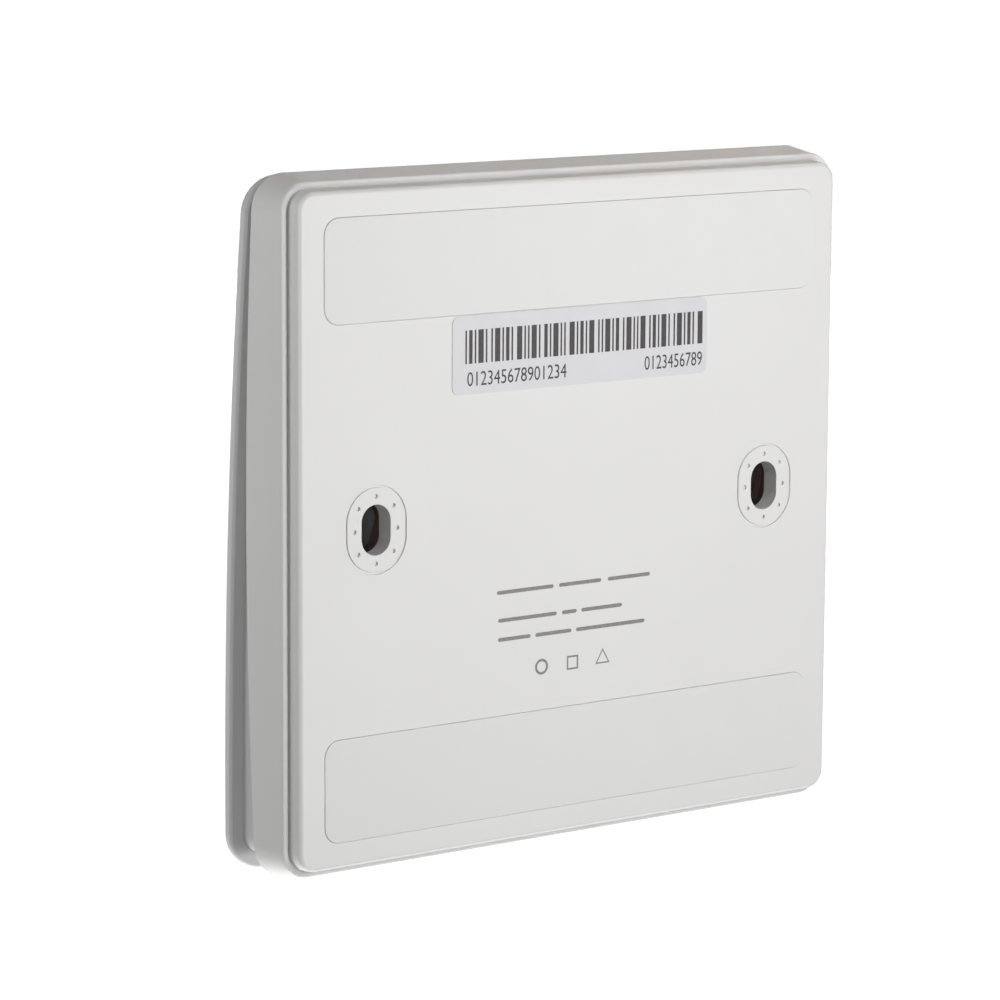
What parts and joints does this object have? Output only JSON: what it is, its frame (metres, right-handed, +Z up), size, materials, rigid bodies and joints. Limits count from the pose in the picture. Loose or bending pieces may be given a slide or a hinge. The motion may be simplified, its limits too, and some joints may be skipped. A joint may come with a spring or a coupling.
{
  "type": "wireless wall switch",
  "caption": "Square surface-mounted wireless switch with a full-face rocker that drives a small generator; stepped back panel with adhesive pads and screw slots.",
  "frame": {"origin": "on the face of the rear panel, midway between the wall-screw slots", "axes": "+Z up, +Y out of the rear panel towards the wall, so the rocker faces -Y"},
  "size_m": [0.086, 0.0143, 0.0857],
  "materials": {
    "shell_white": "fine matt",
    "rocker_white": "satin",
    "foam_white": "soft matt",
    "label_paper": "matt paper",
    "chassis_dark": "matt",
    "steel_screw": "zinc plated",
    "bumper_rubber": "matt",
    "board_green": "lacquered",
    "chip_black": "moulded epoxy",
    "capacitor_yellow": "moulded epoxy",
    "inductor_grey": "ferrite",
    "crystal_can": "plated can",
    "antenna_wire": "bare copper",
    "frame_grey": "matt",
    "bobbin_natural": "natural nylon",
    "winding_copper": "enamelled copper",
    "core_iron": "soft iron",
    "pin_steel": "ground",
    "magnet_nickel": "nickel plated",
    "pole_steel": "stamped",
    "spring_steel": "spring strip"
  },
  "bodies": {
    "housing": {"base_housing": "shell_white", "adhesive_pad_upper": "foam_white", "adhesive_pad_lower": "foam_white", "code_label": "label_paper", "chassis_frame": "chassis_dark", "chassis_screws": "steel_screw", "bumper_pads": "bumper_rubber", "circuit_board": "board_green", "board_screws": "steel_screw", "radio_chip": "chip_black", "storage_capacitor": "capacitor_yellow", "rectifier_diodes": "chip_black", "power_inductor": "inductor_grey", "timing_crystal": "crystal_can", "wire_antenna": "antenna_wire", "generator_frame": "frame_grey", "generator_screws": "steel_screw", "iron_core": "core_iron", "coil_bobbin": "bobbin_natural", "coil_winding": "winding_copper", "coil_leads": "winding_copper", "arm_pivot_pin": "pin_steel", "leaf_spring": "spring_steel", "spring_screws": "steel_screw"},
    "rocker": {"rocker_cap": "rocker_white"},
    "arm": {"swing_arm": "frame_grey", "magnet": "magnet_nickel", "pole_plate_front": "pole_steel", "pole_plate_rear": "pole_steel"}
  },
  "joints": [
    {"name": "rocker_press", "type": "hinge", "parent": "housing", "child": "rocker", "pos_m": [0, -0.0054, 0.037], "axis": [1, 0, 0], "range_deg": [0, 2.8], "stiffness_Nm_per_rad": 1.5, "springref_deg": -2.86},
    {"name": "arm_swing", "type": "hinge", "parent": "housing", "child": "arm", "pos_m": [0, -0.005, -0.005], "axis": [1, 0, 0], "range_deg": [0, 7.2], "deforming": ["leaf_spring"]}
  ],
  "couplings": [
    {"joint": "arm_swing", "follows": "rocker_press", "ratio": 2.5}
  ]
}
